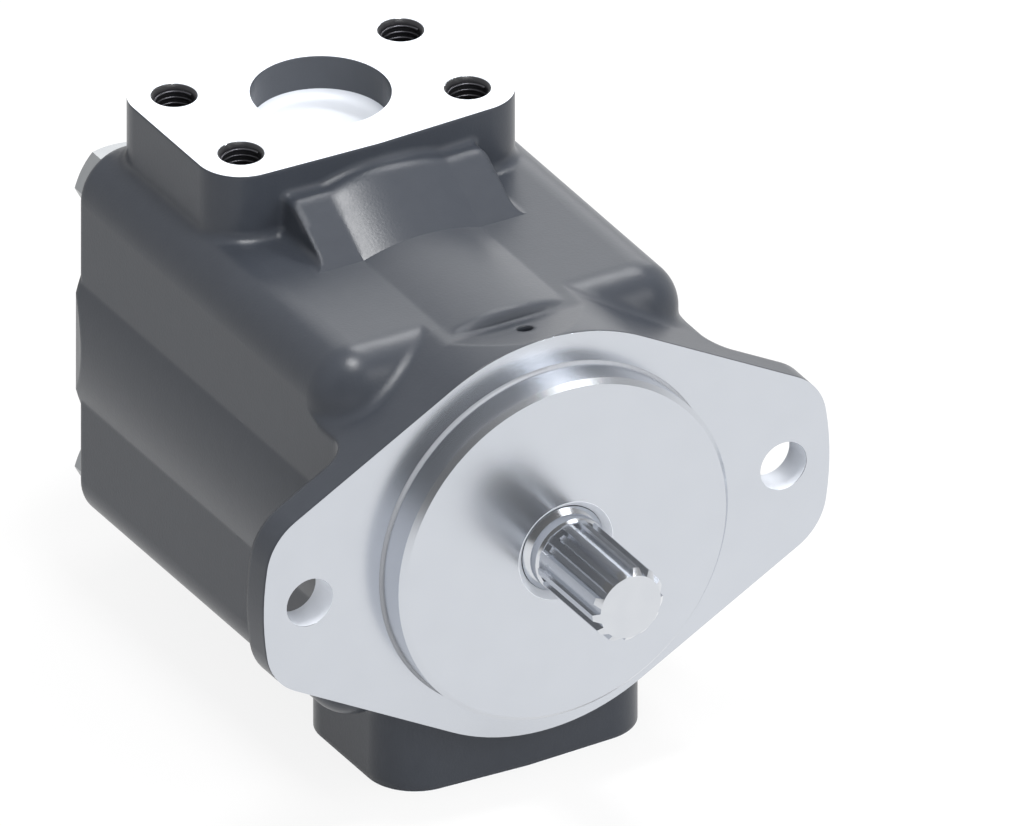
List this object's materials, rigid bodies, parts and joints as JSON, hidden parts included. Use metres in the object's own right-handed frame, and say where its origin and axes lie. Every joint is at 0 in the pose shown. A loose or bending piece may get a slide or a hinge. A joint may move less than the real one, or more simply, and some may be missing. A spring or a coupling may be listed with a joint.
{
  "type": "hydraulic vane pump",
  "caption": "Flange-mounted hydraulic vane pump with a splined shaft, a large suction port on top and a smaller pressure port underneath.",
  "frame": {"origin": "where the shaft axis crosses the mounting face, centre of the two mounting holes", "axes": "-Y along the shaft, out of the pump towards the drive; +Z out of the suction port; X through both mounting holes"},
  "size_m": [0.1744, 0.2169, 0.1524],
  "materials": {
    "painted_casting": "glossy dark grey paint on cast iron, bare machined faces",
    "plated_steel": "zinc plated",
    "pressed_steel": "spring steel, oiled",
    "seal_rubber": "smooth nitrile rubber",
    "bearing_steel": "polished bearing steel",
    "cage_brass": "machined brass",
    "plate_iron": "lapped iron",
    "hardened_steel": "ground and hardened steel",
    "ground_steel": "ground steel",
    "bush_bronze": "sintered bronze"
  },
  "bodies": {
    "root": {"front_housing": "painted_casting", "rear_housing": "painted_casting", "housing_bolts": "plated_steel", "shaft_seal_case": "pressed_steel", "shaft_seal_lip": "seal_rubber", "seal_spring": "pressed_steel", "bearing_outer_race": "bearing_steel", "bearing_retaining_ring": "pressed_steel", "front_port_plate": "plate_iron", "plate_o_ring": "seal_rubber", "spigot_o_ring": "seal_rubber", "cam_ring": "hardened_steel", "rear_port_plate": "plate_iron", "rear_bush": "bush_bronze", "cartridge_dowels": "ground_steel", "cartridge_screws": "pressed_steel", "seam_o_ring": "seal_rubber"},
    "shaft": {"drive_shaft": "ground_steel", "rotor": "hardened_steel", "bearing_inner_race": "bearing_steel", "shaft_retaining_ring": "pressed_steel"},
    "cage": {"bearing_cage": "cage_brass", "bearing_balls": "bearing_steel"},
    "vane_01": {"vane_01": "hardened_steel"},
    "vane_02": {"vane_02": "hardened_steel"},
    "vane_03": {"vane_03": "hardened_steel"},
    "vane_04": {"vane_04": "hardened_steel"},
    "vane_05": {"vane_05": "hardened_steel"},
    "vane_06": {"vane_06": "hardened_steel"},
    "vane_07": {"vane_07": "hardened_steel"},
    "vane_08": {"vane_08": "hardened_steel"},
    "vane_09": {"vane_09": "hardened_steel"},
    "vane_10": {"vane_10": "hardened_steel"}
  },
  "joints": [
    {"name": "shaft_spin", "type": "hinge", "parent": "root", "child": "shaft", "pos_m": [0, 0, 0], "axis": [0, 1, 0], "continuous": true},
    {"name": "cage_roll", "type": "hinge", "parent": "root", "child": "cage", "pos_m": [0, 0.0135, 0], "axis": [0, 1, 0], "continuous": true},
    {"name": "vane_01_slide", "type": "slide", "parent": "shaft", "child": "vane_01", "axis": [1, 0, 0], "range_m": [-0.0024, 0.00356]},
    {"name": "vane_02_slide", "type": "slide", "parent": "shaft", "child": "vane_02", "axis": [0.809, 0, 0.5878], "range_m": [-0.0024, 0.00232]},
    {"name": "vane_03_slide", "type": "slide", "parent": "shaft", "child": "vane_03", "axis": [0.309, 0, 0.9511], "range_m": [-0.0024, 0.0003]},
    {"name": "vane_04_slide", "type": "slide", "parent": "shaft", "child": "vane_04", "axis": [-0.309, 0, 0.9511], "range_m": [-0.0024, 0.0003]},
    {"name": "vane_05_slide", "type": "slide", "parent": "shaft", "child": "vane_05", "axis": [-0.809, 0, 0.5878], "range_m": [-0.0024, 0.00232]},
    {"name": "vane_06_slide", "type": "slide", "parent": "shaft", "child": "vane_06", "axis": [-1, 0, 0], "range_m": [-0.0024, 0.00356]},
    {"name": "vane_07_slide", "type": "slide", "parent": "shaft", "child": "vane_07", "axis": [-0.809, 0, -0.5878], "range_m": [-0.0024, 0.00232]},
    {"name": "vane_08_slide", "type": "slide", "parent": "shaft", "child": "vane_08", "axis": [-0.309, 0, -0.9511], "range_m": [-0.0024, 0.0003]},
    {"name": "vane_09_slide", "type": "slide", "parent": "shaft", "child": "vane_09", "axis": [0.309, 0, -0.9511], "range_m": [-0.0024, 0.0003]},
    {"name": "vane_10_slide", "type": "slide", "parent": "shaft", "child": "vane_10", "axis": [0.809, 0, -0.5878], "range_m": [-0.0024, 0.00232]}
  ],
  "couplings": [
    {"joint": "cage_roll", "follows": "shaft_spin", "ratio": 0.3961}
  ]
}
